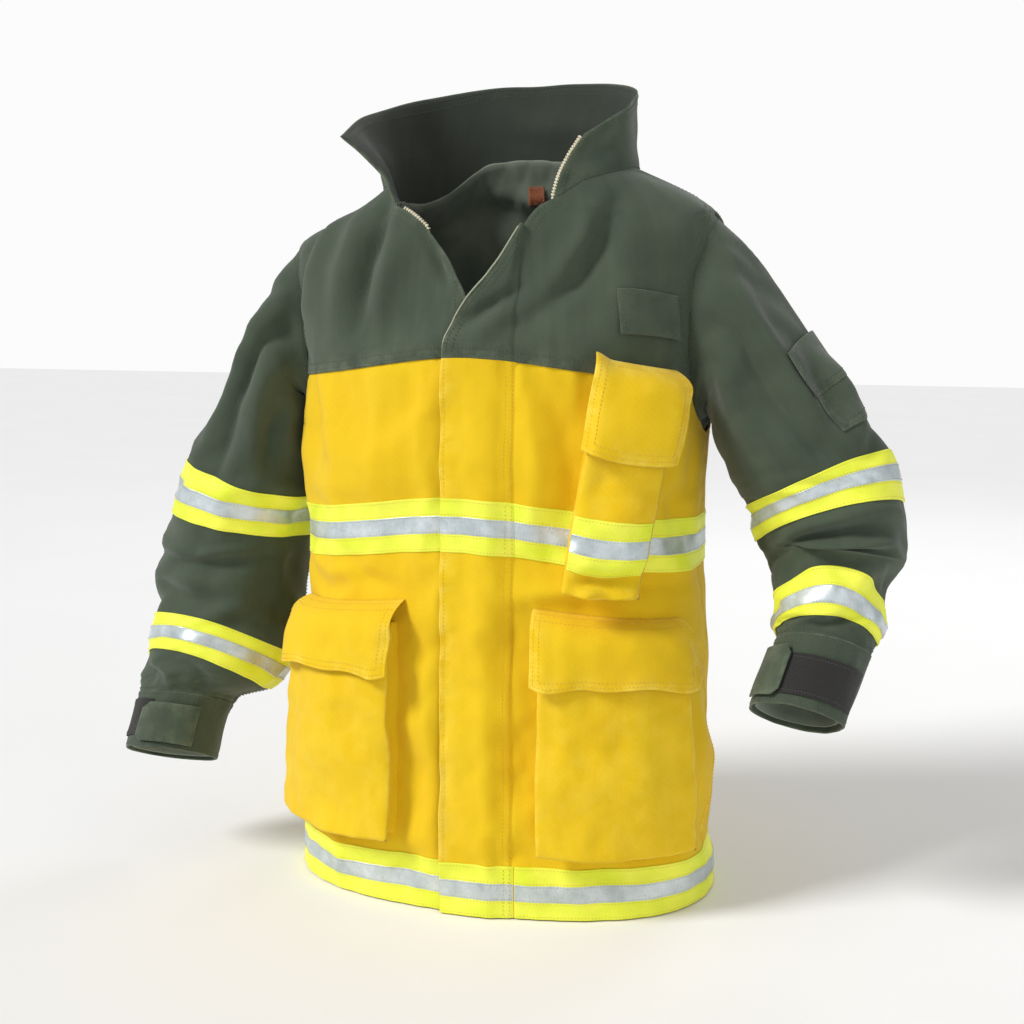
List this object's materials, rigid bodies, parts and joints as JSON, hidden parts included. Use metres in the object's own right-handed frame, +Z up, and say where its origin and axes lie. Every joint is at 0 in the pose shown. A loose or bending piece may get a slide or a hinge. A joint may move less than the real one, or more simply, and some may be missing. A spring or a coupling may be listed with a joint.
{
  "type": "turnout coat",
  "caption": "Firefighter's turnout coat with a dark yoke and sleeves, golden body, zip under a storm flap, bellows pockets, radio pocket, strapped cuffs and reflective trim.",
  "frame": {"origin": "under the middle of the coat's overall width and depth, on the plane the hem stands on", "axes": "+Z up, -Y out of the front, +X towards the wearer's left"},
  "size_m": [0.8829, 0.3197, 0.8935],
  "materials": {
    "back_panel": "coarse golden weave",
    "collar": "coarse dark green weave",
    "collar_lining": "dark quilted lining",
    "cuff_left": "coarse dark green weave",
    "cuff_loop_strip_left": "hook and loop tape",
    "cuff_loop_strip_right": "hook and loop tape",
    "cuff_right": "coarse dark green weave",
    "cuff_tab_left": "coarse dark green weave",
    "cuff_tab_right": "coarse dark green weave",
    "front_panel_left": "coarse golden weave",
    "front_panel_right": "coarse golden weave",
    "hand_pocket_flap_left": "coarse golden weave",
    "hand_pocket_flap_right": "coarse golden weave",
    "hand_pocket_left": "coarse golden weave",
    "hand_pocket_right": "coarse golden weave",
    "hang_loop": "coarse dark green weave",
    "hem_trim_back": "woven reflective trim, lime with a silver middle band",
    "hem_trim_left": "woven reflective trim, lime with a silver middle band",
    "hem_trim_right": "woven reflective trim, lime with a silver middle band",
    "liner_back": "dark quilted lining",
    "liner_front_left": "dark quilted lining",
    "liner_front_right": "dark quilted lining",
    "mic_tab": "coarse dark green weave",
    "neck_label": "blank woven label",
    "placket_loop_strip": "hook and loop tape",
    "radio_pocket": "coarse golden weave",
    "radio_pocket_flap": "coarse golden weave",
    "radio_pocket_trim": "woven reflective trim, lime with a silver middle band",
    "sleeve_liner_left": "dark quilted lining",
    "sleeve_liner_right": "dark quilted lining",
    "sleeve_lower_left": "coarse dark green weave",
    "sleeve_lower_right": "coarse dark green weave",
    "sleeve_lower_trim_left": "woven reflective trim, lime with a silver middle band",
    "sleeve_lower_trim_right": "woven reflective trim, lime with a silver middle band",
    "sleeve_pocket_flap_left": "coarse dark green weave",
    "sleeve_pocket_left": "coarse dark green weave",
    "sleeve_upper_left": "coarse dark green weave",
    "sleeve_upper_right": "coarse dark green weave",
    "sleeve_upper_trim_left": "woven reflective trim, lime with a silver middle band",
    "sleeve_upper_trim_right": "woven reflective trim, lime with a silver middle band",
    "storm_flap": "coarse golden weave",
    "storm_flap_hem_trim": "woven reflective trim, lime with a silver middle band",
    "storm_flap_hook_strip": "hook and loop tape",
    "storm_flap_waist_trim": "woven reflective trim, lime with a silver middle band",
    "storm_flap_yoke": "coarse dark green weave",
    "waist_trim_back": "woven reflective trim, lime with a silver middle band",
    "waist_trim_left": "woven reflective trim, lime with a silver middle band",
    "waist_trim_right": "woven reflective trim, lime with a silver middle band",
    "yoke_back": "coarse dark green weave",
    "yoke_front_left": "coarse dark green weave",
    "yoke_front_right": "coarse dark green weave",
    "zip_pull": "dull brass",
    "zip_slider": "dull brass",
    "zip_tape_left": "dark quilted lining",
    "zip_tape_right": "dark quilted lining",
    "zip_teeth_left": "moulded ivory plastic",
    "zip_teeth_right": "moulded ivory plastic"
  },
  "bodies": {
    "coat": {"back_panel": "back_panel", "collar": "collar", "collar_lining": "collar_lining", "front_panel_left": "front_panel_left", "front_panel_right": "front_panel_right", "hand_pocket_left": "hand_pocket_left", "hand_pocket_right": "hand_pocket_right", "hang_loop": "hang_loop", "hem_trim_back": "hem_trim_back", "hem_trim_left": "hem_trim_left", "hem_trim_right": "hem_trim_right", "liner_back": "liner_back", "liner_front_left": "liner_front_left", "liner_front_right": "liner_front_right", "neck_label": "neck_label", "placket_loop_strip": "placket_loop_strip", "radio_pocket": "radio_pocket", "radio_pocket_trim": "radio_pocket_trim", "waist_trim_back": "waist_trim_back", "waist_trim_left": "waist_trim_left", "waist_trim_right": "waist_trim_right", "yoke_back": "yoke_back", "yoke_front_left": "yoke_front_left", "yoke_front_right": "yoke_front_right", "zip_tape_left": "zip_tape_left", "zip_tape_right": "zip_tape_right", "zip_teeth_left": "zip_teeth_left", "zip_teeth_right": "zip_teeth_right"},
    "storm_flap": {"storm_flap": "storm_flap", "storm_flap_yoke": "storm_flap_yoke", "storm_flap_waist_trim": "storm_flap_waist_trim", "storm_flap_hem_trim": "storm_flap_hem_trim", "storm_flap_hook_strip": "storm_flap_hook_strip"},
    "zip_slider": {"zip_slider": "zip_slider", "zip_pull": "zip_pull"},
    "hand_pocket_flap_right": {"hand_pocket_flap_right": "hand_pocket_flap_right"},
    "hand_pocket_flap_left": {"hand_pocket_flap_left": "hand_pocket_flap_left"},
    "radio_pocket_flap": {"radio_pocket_flap": "radio_pocket_flap"},
    "mic_tab": {"mic_tab": "mic_tab"},
    "sleeve_upper_right": {"sleeve_upper_right": "sleeve_upper_right", "sleeve_upper_trim_right": "sleeve_upper_trim_right"},
    "sleeve_lower_right": {"sleeve_lower_right": "sleeve_lower_right", "sleeve_lower_trim_right": "sleeve_lower_trim_right", "sleeve_liner_right": "sleeve_liner_right", "cuff_right": "cuff_right", "cuff_loop_strip_right": "cuff_loop_strip_right"},
    "cuff_tab_right": {"cuff_tab_right": "cuff_tab_right"},
    "sleeve_upper_left": {"sleeve_upper_left": "sleeve_upper_left", "sleeve_upper_trim_left": "sleeve_upper_trim_left", "sleeve_pocket_left": "sleeve_pocket_left"},
    "sleeve_lower_left": {"sleeve_lower_left": "sleeve_lower_left", "sleeve_lower_trim_left": "sleeve_lower_trim_left", "sleeve_liner_left": "sleeve_liner_left", "cuff_left": "cuff_left", "cuff_loop_strip_left": "cuff_loop_strip_left"},
    "cuff_tab_left": {"cuff_tab_left": "cuff_tab_left"},
    "sleeve_pocket_flap_left": {"sleeve_pocket_flap_left": "sleeve_pocket_flap_left"}
  },
  "joints": [
    {"name": "storm_flap_hinge", "type": "hinge", "parent": "coat", "child": "storm_flap", "pos_m": [0.05882, -0.13237, 0.30781], "axis": [-0.0002, 0.0175, 0.9998], "range_deg": [0, 92]},
    {"name": "zip_slide", "type": "slide", "parent": "coat", "child": "zip_slider", "axis": [0, -0.0169, -0.9999], "range_m": [0, 0.51]},
    {"name": "hand_pocket_flap_right_hinge", "type": "hinge", "parent": "coat", "child": "hand_pocket_flap_right", "pos_m": [-0.14271, -0.11118, 0.32478], "axis": [-0.862, 0.4969, -0.1004], "range_deg": [0, 70]},
    {"name": "hand_pocket_flap_left_hinge", "type": "hinge", "parent": "coat", "child": "hand_pocket_flap_left", "pos_m": [0.14571, -0.11118, 0.32478], "axis": [-0.862, -0.4969, 0.1004], "range_deg": [0, 70]},
    {"name": "radio_pocket_flap_hinge", "type": "hinge", "parent": "coat", "child": "radio_pocket_flap", "pos_m": [0.16726, -0.09752, 0.58679], "axis": [-0.8497, -0.5151, 0.113], "range_deg": [0, 75]},
    {"name": "mic_tab_hinge", "type": "hinge", "parent": "coat", "child": "mic_tab", "pos_m": [0.18163, -0.08561, 0.66025], "axis": [-0.8476, -0.5166, 0.1209], "range_deg": [0, 80]},
    {"name": "shoulder_right", "type": "hinge", "parent": "coat", "child": "sleeve_upper_right", "pos_m": [-0.23223, 0.0131, 0.74502], "axis": [0, 1, 0], "range_deg": [0, 45]},
    {"name": "elbow_right", "type": "hinge", "parent": "sleeve_upper_right", "child": "sleeve_lower_right", "pos_m": [-0.3455, 0.0211, 0.336], "axis": [-0.9989, 0, -0.047], "range_deg": [-5, 32]},
    {"name": "cuff_tab_right_hinge", "type": "hinge", "parent": "sleeve_lower_right", "child": "cuff_tab_right", "pos_m": [-0.3422, -0.08469, 0.16003], "axis": [0.1475, 0.3936, 0.9074], "range_deg": [0, 75]},
    {"name": "shoulder_left", "type": "hinge", "parent": "coat", "child": "sleeve_upper_left", "pos_m": [0.23523, 0.0131, 0.74502], "axis": [0, -1, 0], "range_deg": [0, 45]},
    {"name": "elbow_left", "type": "hinge", "parent": "sleeve_upper_left", "child": "sleeve_lower_left", "pos_m": [0.3685, 0.0171, 0.398], "axis": [-0.9985, 0, -0.0547], "range_deg": [-5, 32]},
    {"name": "cuff_tab_left_hinge", "type": "hinge", "parent": "sleeve_lower_left", "child": "cuff_tab_left", "pos_m": [0.30452, -0.06966, 0.26861], "axis": [-0.2346, -0.4886, -0.8404], "range_deg": [0, 75]},
    {"name": "sleeve_pocket_flap_left_hinge", "type": "hinge", "parent": "sleeve_upper_left", "child": "sleeve_pocket_flap_left", "pos_m": [0.33777, -0.0127, 0.61683], "axis": [-0.1783, -0.9493, -0.2588], "range_deg": [0, 70]}
  ]
}
